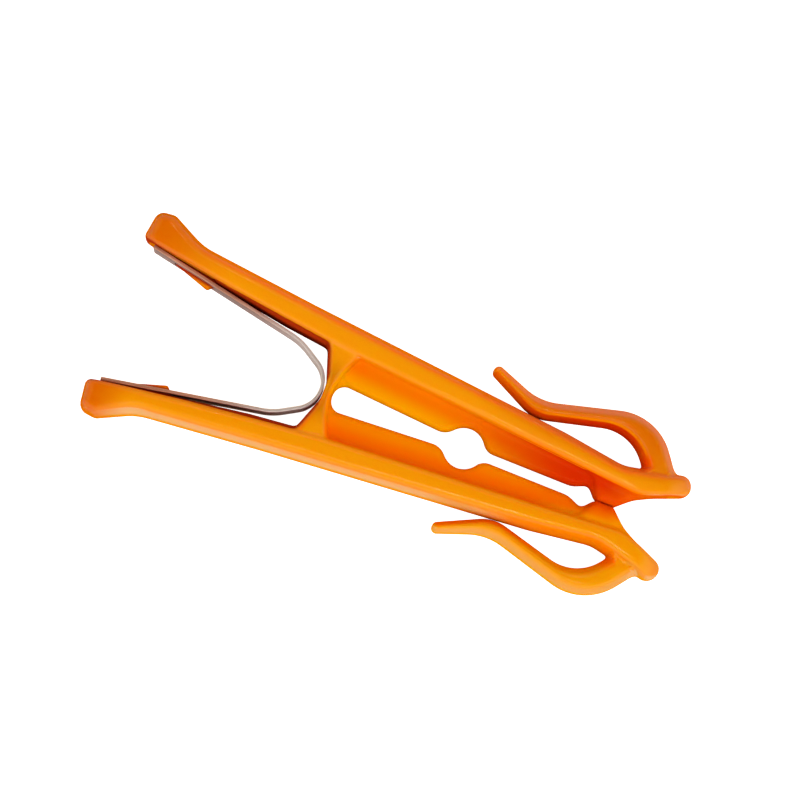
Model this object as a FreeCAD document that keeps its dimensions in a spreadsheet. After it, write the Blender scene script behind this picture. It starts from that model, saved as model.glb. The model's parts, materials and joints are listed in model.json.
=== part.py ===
import FreeCAD, Part
import math
import os
import re
import Sketcher

# A squeeze clamp for holding lines, card and sheet. It is moulded in one piece, with two
# mirrored arms that meet at a thin hinge, and a bent steel strip that keeps the jaws shut.
# Lengths are millimetres. The clamp lies on its side on the plane Z = 0, with its jaws
# towards +X and its upper arm on the +Y side, and the origin is under its middle. In each
# piece's own frame the origin is the centre of the hinge, and Z is the hinge axis.

SIZES = {
    # Depths across the clamp, along Z
    "arm_depth": 10.0,
    "web_recess": 0.5,
    "hook_recess": 1.0,
    "jaw_recess": 1.8,
    "rib_depth": 3.2,
    "strip_width": 6.5,
    "boss_width": 2.8,
    # Outer edge of an arm, from the hinge axis and from the middle plane
    "hinge_height": 10.1,
    "taper": 0.09,
    "shoulder_reach": 33.0,
    "shoulder_round": 40.0,
    "bend_reach": 42.0,
    "bend_drop": 0.42,
    "bend_round": 6.0,
    "tip_length": 10.2,
    "tip_rise": 2.4,
    "tip_slant": 0.5,
    "tip_round": 1.4,
    # Finger pad at the end of a handle
    "handle_length": 31.9,
    "flare_length": 8.3,
    "flare_round": 8.0,
    "crown_length": 3.2,
    "pad_rise": 2.52,
    "pad_end_setback": 0.7,
    "pad_end_drop": 0.3,
    "pad_round": 1.4,
    # Thickness of an arm from its outer edge to its inner edge
    "pad_thickness": 4.4,
    "handle_thickness": 3.3,
    "handle_bend": 18.0,
    "handle_round": 40.0,
    "arm_thickness": 3.85,
    "throat_setback": 6.9,
    "throat_thickness": 4.1,
    "throat_round": 7.0,
    "tip_thickness": 3.3,
    "rim_round": 0.9,
    # Hinge strip and the webs that carry it
    "flex_thickness": 1.2,
    "flex_half_length": 1.2,
    "flex_flare": 0.12,
    "root_depth": 0.8,
    "web_half_width": 2.1,
    "web_corner": 0.8,
    "web_neck_width": 1.2,
    "web_neck_height": 3.1,
    "web_back_round": 1.0,
    "web_front_round": 3.0,
    # Rib along the inside of an arm, and the slot between the two ribs
    "slot_half_gap": 0.7,
    "slot_end_gap": 2.0,
    "slot_end_start": 0.95,
    "slot_end_length": 1.9,
    "slot_end_round": 1.2,
    "line_hole_reach": 20.5,
    "line_hole_radius": 2.9,
    "line_hole_back_lip": 2.0,
    "line_hole_front_lip": 1.2,
    "relief_length": 3.9,
    "relief_run": 1.9,
    "relief_gap": 1.55,
    "relief_round": 0.6,
    # Jaw block behind the gripping face
    "jaw_reach": 40.3,
    "jaw_length": 2.5,
    "jaw_gap": 0.1,
    "jaw_back_lean": 1.8,
    "jaw_mouth_run": 2.6,
    "jaw_mouth_rise": 2.35,
    "jaw_mouth_round": 3.0,
    # Barbed boss that holds the end of the steel strip
    "boss_reach": 26.2,
    "boss_length": 5.9,
    "boss_height": 0.95,
    "boss_back": 0.6,
    "boss_round": 0.35,
    # Steel strip
    "strip_thickness": 0.5,
    "strip_end_margin": 2.1,
    "bow_gap": 0.1,
    "bow_height": 2.3,
    "bow_round": 3.9,
    "bow_shoulder_run": 5.1,
    "bow_shoulder_height": 5.35,
    "bow_shoulder_round": 9.0,
    "seat_gap": 0.05,
    "window_clearance": 0.25,
    # Spring hook on the outside of an arm
    "hook_reach": 49.0,
    "hook_lean": 5.0,
    "hook_height": 8.45,
    "hook_crest_round": 8.0,
    "hook_run": 16.1,
    "hook_trough_rise": 2.35,
    "hook_trough_round": 8.0,
    "hook_tail": 7.3,
    "hook_tail_rise": 4.4,
    "hook_tail_slant": 0.6,
    "hook_tail_thickness": 1.85,
    "hook_end_round": 0.85,
    "hook_root_width": 4.3,
    "hook_sink": 1.2,
    "loop_inset": 2.7,
    "loop_drop": 3.85,
    "loop_round": 6.5,
    "loop_trough_round": 10.5,
    "hook_waist": 2.87,
    "hook_rim_round": 0.6,
    "hook_gap": 0.1,
}

SHEET = "Sizes"
WORD = re.compile(r"[a-z_]+")
UPPER, LOWER = 1, -1
NAMES = {UPPER: "upper", LOWER: "lower"}
SAME_PLACE = 0.001

# Where the centre of the hinge lies when the origin is under the middle of the clamp
HINGE_PLACE = {
    "Placement.Base.x": "(handle_length - bend_reach - tip_length) / 2",
    "Placement.Base.z": "arm_depth / 2",
}

document = FreeCAD.newDocument("spring_clamp")
sheet = document.addObject("Spreadsheet::Sheet", SHEET)
for row, (alias, number) in enumerate(SIZES.items(), start=1):
    sheet.set(f"A{row}", alias)
    sheet.set(f"B{row}", str(number))
    sheet.setAlias(f"B{row}", alias)
document.recompute()


def bound(formula):
    """A formula in the sheet's names, written so that a property can be bound to it."""
    return WORD.sub(lambda word: f"{SHEET}.{word[0]}" if word[0] in SIZES else word[0], formula)


def value(formula):
    """What a formula comes to with the sheet's present sizes."""
    return float(sheet.evalExpression(bound(formula)))


def outer_edge(reach):
    """Height of the straight outer edge of an arm at a distance from the hinge axis."""
    return f"hinge_height - taper * ({reach})"


def between(reach, start, end):
    """Height at a distance from the hinge axis of the line through two corners."""
    (x_start, y_start), (x_end, y_end) = start[:2], end[:2]
    share = f"(({reach}) - ({x_start})) / (({x_end}) - ({x_start}))"
    return f"({y_start}) + (({y_end}) - ({y_start})) * {share}"


# Corners of an arm's outline, each as (x, y, radius)
CROWN = f"{outer_edge('crown_length - handle_length')} + pad_rise"
BEND = f"{outer_edge('bend_reach')} - bend_drop"
PAD_END = ("pad_end_setback - handle_length", f"{CROWN} - pad_end_drop", "pad_round")
PAD_CROWN = ("crown_length - handle_length", CROWN, "pad_round")
FLARE = ("flare_length - handle_length", outer_edge("flare_length - handle_length"), "flare_round")
SHOULDER = ("shoulder_reach", outer_edge("shoulder_reach"), "shoulder_round")
OUTER_BEND = ("bend_reach", BEND, "bend_round")
TIP_OUTER = ("bend_reach + tip_length - tip_slant", f"{BEND} + tip_rise", "tip_round")
TIP_INNER = ("bend_reach + tip_length", f"{BEND} + tip_rise - tip_thickness", "tip_round")
THROAT_X = "bend_reach + tip_length - throat_setback"
THROAT = (
    THROAT_X,
    f"{between(THROAT_X, OUTER_BEND, TIP_OUTER)} - throat_thickness",
    "throat_round",
)
HINGE_EDGE = ("0", f"{outer_edge('0')} - arm_thickness", None)
HANDLE_BEND = ("-handle_bend", f"{outer_edge('-handle_bend')} - handle_thickness", "handle_round")
PAD_INNER = ("-handle_length", f"{CROWN} - pad_end_drop - pad_thickness", "pad_round")


def sketch_on(body, name, plane):
    """A sketch on one of the body's own origin planes."""
    sketch = body.newObject("Sketcher::SketchObject", name)
    support = [f for f in body.Origin.OriginFeatures if f.Role == plane][0]
    sketch.AttachmentSupport = [(support, "")]
    sketch.MapMode = "FlatFace"
    return sketch


def fix(sketch, kind, element, point, formula):
    """Bind a coordinate or a radius in a sketch to a formula."""
    label = f"{kind.lower()}_{element}"
    place = (element,) if point is None else (element, point)
    index = sketch.addConstraint(Sketcher.Constraint(kind, *place, value(formula)))
    sketch.renameConstraint(index, label)
    sketch.setExpression(f"Constraints.{label}", bound(formula))


def arc_at(before, corner, after, radius):
    """Where a corner's arc starts and ends, its centre, and whether it turns left."""
    come = (corner - before).normalize()
    leave = (after - corner).normalize()
    left = come.cross(leave).z > 0
    reach = radius * math.tan(come.getAngle(leave) / 2)
    inward = FreeCAD.Vector(-come.y, come.x, 0) * (1 if left else -1)
    start = corner - come * reach
    return start, corner + leave * reach, start + inward * radius, left


def draw(sketch, corners, side=UPPER, closed=True):
    """Straight runs from corner to corner, with a tangent arc at each corner that has a radius."""
    ys = [y if side == UPPER else f"-({y})" for _, y, _ in corners]
    spots = [FreeCAD.Vector(value(x), value(y), 0) for (x, _, _), y in zip(corners, ys)]
    arcs = {}
    for number, (_, _, radius) in enumerate(corners):
        if radius:
            before, after = spots[number - 1], spots[(number + 1) % len(spots)]
            arcs[number] = arc_at(before, spots[number], after, value(radius))
    runs = []
    for number in range(len(corners) if closed else len(corners) - 1):
        following = (number + 1) % len(corners)
        start = arcs[number][1] if number in arcs else spots[number]
        end = arcs[following][0] if following in arcs else spots[following]
        runs.append(sketch.addGeometry(Part.LineSegment(start, end), False))
    for number, (x, _, radius) in enumerate(corners):
        arriving = runs[number - 1] if closed or number else None
        leaving = runs[number] if number < len(runs) else None
        if number in arcs:
            start, end, centre, left = arcs[number]
            first, last = (start, end) if left else (end, start)
            from_angle = math.atan2(first.y - centre.y, first.x - centre.x)
            to_angle = math.atan2(last.y - centre.y, last.x - centre.x)
            if to_angle < from_angle:
                to_angle += 2 * math.pi
            circle = Part.Circle(centre, FreeCAD.Vector(0, 0, 1), value(radius))
            arc = sketch.addGeometry(Part.ArcOfCircle(circle, from_angle, to_angle), False)
            near, far = (1, 2) if left else (2, 1)
            sketch.addConstraint(Sketcher.Constraint("Tangent", arriving, 2, arc, near))
            sketch.addConstraint(Sketcher.Constraint("Tangent", arc, far, leaving, 1))
            fix(sketch, "Radius", arc, None, radius)
            held = sketch.addGeometry(Part.Point(spots[number]), True)
            sketch.addConstraint(Sketcher.Constraint("PointOnObject", held, 1, arriving))
            sketch.addConstraint(Sketcher.Constraint("PointOnObject", held, 1, leaving))
            spot = (held, 1)
        elif leaving is None:
            spot = (arriving, 2)
        else:
            spot = (leaving, 1)
            if arriving is not None:
                sketch.addConstraint(Sketcher.Constraint("Coincident", arriving, 2, leaving, 1))
        fix(sketch, "DistanceX", *spot, x)
        fix(sketch, "DistanceY", *spot, ys[number])


def slab(body, name, corners, depth, side=UPPER):
    """A plate of the given outline, as deep above the middle plane as below it."""
    sketch = sketch_on(body, f"{name}_outline", "XY_Plane")
    draw(sketch, corners, side)
    pad = body.newObject("PartDesign::Pad", name)
    pad.Profile = sketch
    pad.SideType = "Symmetric"
    pad.setExpression("Length", bound(depth))
    document.recompute()
    return pad


def cut_through(body, name, sketch):
    """Cut a sketch's shape out of the whole body, both ways from the sketch."""
    pocket = body.newObject("PartDesign::Pocket", name)
    pocket.Profile = sketch
    pocket.SideType = "Symmetric"
    pocket.Type = "ThroughAll"
    document.recompute()
    return pocket


def rounded(body, name, base, edges, radius):
    """Round some of a feature's edges."""
    fillet = body.newObject("PartDesign::Fillet", name)
    fillet.Base = (base, edges)
    fillet.setExpression("Radius", bound(radius))
    document.recompute()
    return fillet


def rim_edges(feature):
    """The edges round a plate's two flat faces."""
    edges = enumerate(feature.Shape.Edges, start=1)
    return [f"Edge{number}" for number, edge in edges if edge.BoundBox.ZLength < SAME_PLACE]


def lip_edges(feature, radius, centre_x, in_front):
    """The upright edges where the slot runs into a round hole, in front of its centre or behind."""
    found = []
    for number, edge in enumerate(feature.Shape.Edges, start=1):
        box = edge.BoundBox
        away = math.hypot(box.Center.x - centre_x, box.Center.y)
        upright = box.XLength + box.YLength < SAME_PLACE
        if upright and abs(away - radius) < SAME_PLACE and (box.Center.x > centre_x) == in_front:
            found.append(f"Edge{number}")
    return found


def new_body(label):
    """A body in its place, with its own origin at the centre of the hinge."""
    body = document.addObject("PartDesign::Body", label)
    body.Label = label
    for length, formula in HINGE_PLACE.items():
        body.setExpression(length, bound(formula))
    return body


def make_arm(side):
    """One moulded arm: finger pad, handle, rib, jaw block and the boss that holds the strip."""
    body = new_body(f"{NAMES[side]}_arm")
    flange = slab(
        body,
        f"{NAMES[side]}_flange",
        [
            PAD_INNER,
            PAD_END,
            PAD_CROWN,
            FLARE,
            SHOULDER,
            OUTER_BEND,
            TIP_OUTER,
            TIP_INNER,
            THROAT,
            HINGE_EDGE,
            HANDLE_BEND,
        ],
        "arm_depth",
        side,
    )
    rounded(body, f"{NAMES[side]}_flange_rim", flange, rim_edges(flange), "rim_round")

    inside_flange = f"{HINGE_EDGE[1]} + root_depth"
    slab(
        body,
        f"{NAMES[side]}_web",
        [
            ("-flex_thickness / 2", "flex_half_length", None),
            ("-web_half_width", f"{HINGE_EDGE[1]} - web_corner", "web_back_round"),
            ("-web_half_width - web_corner", inside_flange, None),
            ("web_half_width + web_corner", inside_flange, None),
            ("web_neck_width", "web_neck_height", "web_front_round"),
            ("flex_thickness / 2 + flex_flare", "flex_half_length", None),
        ],
        "arm_depth - 2 * web_recess",
        side,
    )

    slab(
        body,
        f"{NAMES[side]}_rib",
        [
            ("slot_end_start", "flex_half_length", None),
            ("slot_end_length", "slot_end_gap", "slot_end_round"),
            ("line_hole_reach", "slot_half_gap", None),
            ("jaw_reach - relief_length", "slot_half_gap", "relief_round"),
            ("jaw_reach - relief_run", "relief_gap", "relief_round"),
            ("jaw_reach", "jaw_gap / 2", None),
            ("jaw_reach", f"{between('jaw_reach', HINGE_EDGE, THROAT)} + root_depth", None),
            ("0", inside_flange, None),
            ("0", "flex_half_length", None),
        ],
        "rib_depth",
        side,
    )

    jaw_back = "jaw_reach - jaw_back_lean"
    mouth_x = "jaw_reach + jaw_length + jaw_mouth_run"
    front_x = f"{mouth_x} + jaw_mouth_run"
    slab(
        body,
        f"{NAMES[side]}_jaw",
        [
            ("jaw_reach", "jaw_gap / 2", None),
            ("jaw_reach + jaw_length", "jaw_gap / 2", None),
            (mouth_x, "jaw_gap / 2 + jaw_mouth_rise", "jaw_mouth_round"),
            (front_x, f"{between(front_x, THROAT, TIP_INNER)} + root_depth", None),
            (jaw_back, f"{between(jaw_back, HINGE_EDGE, THROAT)} + root_depth", None),
            (jaw_back, between(jaw_back, HINGE_EDGE, THROAT), None),
        ],
        "arm_depth - 2 * jaw_recess",
        side,
    )

    boss_far, boss_near = "-boss_reach", "boss_length - boss_reach"
    far_face = between(boss_far, PAD_INNER, HANDLE_BEND)
    near_face = between(boss_near, PAD_INNER, HANDLE_BEND)
    crest = "boss_length - boss_reach - boss_back"
    crest_face = between(crest, PAD_INNER, HANDLE_BEND)
    slab(
        body,
        f"{NAMES[side]}_boss",
        [
            (boss_far, f"{far_face} + strip_thickness", None),
            (boss_far, f"{far_face} - strip_thickness - seat_gap", None),
            (crest, f"{crest_face} - strip_thickness - boss_height", "boss_round"),
            (boss_near, f"{near_face} - strip_thickness", "boss_round"),
            (boss_near, f"{near_face} + strip_thickness", None),
        ],
        "boss_width",
        side,
    )

    sketch = sketch_on(body, f"{NAMES[side]}_line_hole_circle", "XY_Plane")
    circle = Part.Circle(
        FreeCAD.Vector(value("line_hole_reach"), 0, 0),
        FreeCAD.Vector(0, 0, 1),
        value("line_hole_radius"),
    )
    ring = sketch.addGeometry(circle, False)
    sketch.addConstraint(Sketcher.Constraint("PointOnObject", ring, 3, -1))
    fix(sketch, "Radius", ring, None, "line_hole_radius")
    fix(sketch, "DistanceX", ring, 3, "line_hole_reach")
    feature = cut_through(body, f"{NAMES[side]}_line_hole", sketch)
    for lip, in_front in (("line_hole_back_lip", False), ("line_hole_front_lip", True)):
        edges = lip_edges(feature, value("line_hole_radius"), value("line_hole_reach"), in_front)
        feature = rounded(body, f"{NAMES[side]}_{lip}", feature, edges, lip)
    return body


def make_hinge():
    """The thin strip of the moulding that bends when the handles are squeezed."""
    body = new_body("living_hinge")
    back = "-flex_thickness / 2"
    slab(
        body,
        "hinge_strip",
        [
            (back, "-flex_half_length", None),
            ("flex_thickness / 2 + flex_flare", "-flex_half_length", None),
            ("flex_thickness / 2", "0", "web_front_round"),
            ("flex_thickness / 2 + flex_flare", "flex_half_length", None),
            (back, "flex_half_length", None),
        ],
        "arm_depth - 2 * web_recess",
    )
    return body


def make_hook(side):
    """The springy hook on the outside of an arm, which grips whatever slides under it."""
    body = new_body(f"{NAMES[side]}_hook")
    inner_x = "hook_reach - hook_root_width"
    outer_root = between("hook_reach", OUTER_BEND, TIP_OUTER)
    inner_root = between(inner_x, OUTER_BEND, TIP_OUTER)
    crest = ("hook_reach - hook_lean", f"{BEND} + hook_height")
    trough_x = f"{crest[0]} - hook_run"
    trough_y = f"{outer_edge(trough_x)} + hook_trough_rise"
    end_x = f"{trough_x} - hook_tail"
    end_y = f"{outer_edge(end_x)} + hook_tail_rise"
    loop = (f"{crest[0]} - loop_inset", f"{crest[1]} - loop_drop")
    blank = slab(
        body,
        f"{NAMES[side]}_hook_blank",
        [
            (end_x, end_y, "hook_end_round"),
            (trough_x, trough_y, "hook_trough_round"),
            (*crest, "hook_crest_round"),
            ("hook_reach", outer_root, None),
            ("hook_reach", f"{outer_root} - hook_sink", None),
            (inner_x, f"{inner_root} - hook_sink", None),
            (inner_x, inner_root, None),
            (*loop, "loop_round"),
            (trough_x, f"{trough_y} - hook_waist", "loop_trough_round"),
            (f"{end_x} - hook_tail_slant", f"{end_y} - hook_tail_thickness", "hook_end_round"),
        ],
        "arm_depth - 2 * hook_recess",
        side,
    )
    rounded(body, f"{NAMES[side]}_hook_rim", blank, rim_edges(blank), "hook_rim_round")
    sketch = sketch_on(body, f"{NAMES[side]}_hook_seat", "XY_Plane")
    draw(
        sketch,
        [
            ("0", "0", None),
            ("0", f"{outer_edge('0')} + hook_gap", None),
            (SHOULDER[0], f"{SHOULDER[1]} + hook_gap", "shoulder_round"),
            (OUTER_BEND[0], f"{OUTER_BEND[1]} + hook_gap", "bend_round - hook_gap"),
            (TIP_OUTER[0], f"{TIP_OUTER[1]} + hook_gap", None),
            (TIP_OUTER[0], "0", None),
        ],
        side,
    )
    cut_through(body, f"{NAMES[side]}_hook_trim", sketch)
    return body


def make_spring():
    """The bent steel strip that pushes the two handles apart."""
    body = new_body("leaf_spring")
    crest_x = "-flex_thickness / 2 - bow_gap - strip_thickness / 2"
    end_x = "strip_end_margin - handle_length"
    end_y = f"{between(end_x, PAD_INNER, HANDLE_BEND)} - strip_thickness / 2 - seat_gap"
    path = sketch_on(body, "strip_path", "XY_Plane")
    draw(
        path,
        [
            (crest_x, "0", None),
            (crest_x, "bow_height", "bow_round"),
            (f"{crest_x} - bow_shoulder_run", "bow_shoulder_height", "bow_shoulder_round"),
            (end_x, end_y, None),
        ],
        closed=False,
    )
    section = sketch_on(body, "strip_section", "XZ_Plane")
    half = "strip_thickness / 2"
    draw(
        section,
        [
            (f"{crest_x} - {half}", "-strip_width / 2", None),
            (f"{crest_x} + {half}", "-strip_width / 2", None),
            (f"{crest_x} + {half}", "strip_width / 2", None),
            (f"{crest_x} - {half}", "strip_width / 2", None),
        ],
    )
    document.recompute()
    leg = body.newObject("PartDesign::AdditivePipe", "strip_leg")
    leg.Profile = section
    leg.Spine = path
    document.recompute()
    both = body.newObject("PartDesign::Mirrored", "strip_legs")
    both.Originals = [leg]
    both.MirrorPlane = (
        [f for f in body.Origin.OriginFeatures if f.Role == "XZ_Plane"][0],
        [""],
    )
    body.Tip = both
    document.recompute()
    windows = sketch_on(body, "strip_windows", "XZ_Plane")
    far, near = "-boss_reach - window_clearance", "boss_length - boss_reach + window_clearance"
    half_window = "boss_width / 2 + window_clearance"
    draw(
        windows,
        [
            (far, f"-({half_window})", None),
            (near, f"-({half_window})", None),
            (near, half_window, None),
            (far, half_window, None),
        ],
    )
    cut_through(body, "strip_window_cut", windows)
    return body


parts = [make_arm(LOWER), make_arm(UPPER), make_hinge(), make_hook(LOWER), make_hook(UPPER)]
parts.append(make_spring())
document.recompute()

for item in document.Objects:
    if "Invalid" in item.State or "Error" in item.State:
        raise RuntimeError(f"{item.Label} failed: {item.State}")
for part in parts:
    if part.Shape.isNull() or not part.Shape.isValid():
        raise RuntimeError(f"{part.Label} has no valid shape")

os.makedirs("parts", exist_ok=True)
for part in parts:
    part.Shape.exportStep(f"parts/{part.Label}.step")
    box = part.Shape.BoundBox
    print(
        f"{part.Label}: {len(part.Shape.Solids)} solid, {part.Shape.Volume:.2f} mm3,"
        f" x {box.XMin:.2f} to {box.XMax:.2f}, y {box.YMin:.2f} to {box.YMax:.2f},"
        f" z {box.ZMin:.2f} to {box.ZMax:.2f}"
    )
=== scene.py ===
import bpy
import json
import math
from mathutils import Matrix, Vector


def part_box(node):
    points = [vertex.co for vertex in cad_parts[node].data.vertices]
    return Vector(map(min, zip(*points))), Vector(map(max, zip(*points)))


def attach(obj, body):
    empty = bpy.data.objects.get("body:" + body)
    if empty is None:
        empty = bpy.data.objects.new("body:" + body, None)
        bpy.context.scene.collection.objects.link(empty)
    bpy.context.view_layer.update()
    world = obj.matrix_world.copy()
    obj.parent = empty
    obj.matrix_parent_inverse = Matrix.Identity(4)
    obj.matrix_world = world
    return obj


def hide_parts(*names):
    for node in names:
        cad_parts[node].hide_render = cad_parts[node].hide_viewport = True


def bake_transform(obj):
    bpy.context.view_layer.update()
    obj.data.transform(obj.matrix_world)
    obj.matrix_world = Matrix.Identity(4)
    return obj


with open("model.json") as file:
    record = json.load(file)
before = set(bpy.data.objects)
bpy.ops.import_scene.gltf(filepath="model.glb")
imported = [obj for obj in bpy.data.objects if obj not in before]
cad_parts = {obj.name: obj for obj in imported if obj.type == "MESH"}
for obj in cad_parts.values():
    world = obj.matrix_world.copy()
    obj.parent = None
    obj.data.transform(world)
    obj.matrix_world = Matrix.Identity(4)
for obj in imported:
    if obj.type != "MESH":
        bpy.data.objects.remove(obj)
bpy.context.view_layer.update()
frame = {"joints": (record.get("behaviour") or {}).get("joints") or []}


# Orange plastic. The whole moulding is one shot of glossy polypropylene with a faint spark
# grain from the tool. Light that reaches the recesses has bounced between orange walls, and
# the plastic is a little translucent, so the recesses are painted a deeper, redder shade than
# the outside. Its slopes, pads, hooks and hinge also carry painted light and shade.

MM = 0.001
SIDES = {"upper": 1, "lower": -1}
hinge_centre = Vector(next(j["pos_m"] for j in frame["joints"] if j["name"] == "squeeze"))


def wire(tree, kind, inputs=None, **settings):
    """Add a node, set its properties, and feed its inputs with sockets or plain values."""
    made = tree.nodes.new(kind)
    for name, setting in settings.items():
        setattr(made, name, setting)
    for key, source in (inputs or {}).items():
        if isinstance(source, bpy.types.NodeSocket):
            tree.links.new(source, made.inputs[key])
        else:
            made.inputs[key].default_value = source
    return made


def maths(tree, operation, *sources):
    """The result of one Math node."""
    return wire(tree, "ShaderNodeMath", dict(enumerate(sources)), operation=operation).outputs[0]


def ramp(tree, source, start, end, low=0.0, high=1.0):
    """A smooth step from low to high as the source goes from start to end."""
    inputs = {"Value": source, "From Min": start, "From Max": end, "To Min": low, "To Max": high}
    return wire(tree, "ShaderNodeMapRange", inputs, interpolation_type="SMOOTHSTEP").outputs[0]


def blended_colour(tree, share, first, second):
    """A mix of two colours, each a socket or a colour."""
    inputs = {0: share, 6: first, 7: second}
    return wire(tree, "ShaderNodeMix", inputs, data_type="RGBA").outputs[2]


def grain_group():
    """Tool marks on a surface, as a height from 0 to 1, drawn out along the axes as asked."""
    group = bpy.data.node_groups.new("surface_grain", "ShaderNodeTree")
    for name, kind in (("Stretch", "Vector"), ("Size", "Float"), ("Contrast", "Float")):
        group.interface.new_socket(name, in_out="INPUT", socket_type=f"NodeSocket{kind}")
    group.interface.new_socket("Height", in_out="OUTPUT", socket_type="NodeSocketFloat")
    given = wire(group, "NodeGroupInput").outputs
    place = wire(group, "ShaderNodeTexCoord").outputs["Object"]
    squeezed = wire(
        group, "ShaderNodeVectorMath", {0: place, 1: given["Stretch"]}, operation="DIVIDE"
    ).outputs[0]
    noise = wire(
        group,
        "ShaderNodeTexNoise",
        {
            "Vector": squeezed,
            "Scale": maths(group, "DIVIDE", 1.0, given["Size"]),
            "Detail": 2.0,
            "Roughness": 0.55,
        },
    ).outputs["Fac"]
    centred = maths(group, "SUBTRACT", noise, 0.5)
    height = maths(group, "MULTIPLY_ADD", centred, given["Contrast"], 0.5)
    wire(group, "NodeGroupOutput", {"Height": height})
    return group


surface_grain = grain_group()


def new_material(name):
    """An empty node material, its tree and its Principled shader."""
    material = bpy.data.materials.new(name)
    material.use_nodes = True
    return material, material.node_tree, material.node_tree.nodes["Principled BSDF"]


def times(tree, *shares):
    """The product of several shares."""
    product = shares[0]
    for share in shares[1:]:
        product = maths(tree, "MULTIPLY", product, share)
    return product


DARK_SIDE = (-0.6, 0.8, 0.0)
ROOT_CORNER = Vector((44.4, 7.1, 0))
HALF_DEPTH = 5.0


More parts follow.
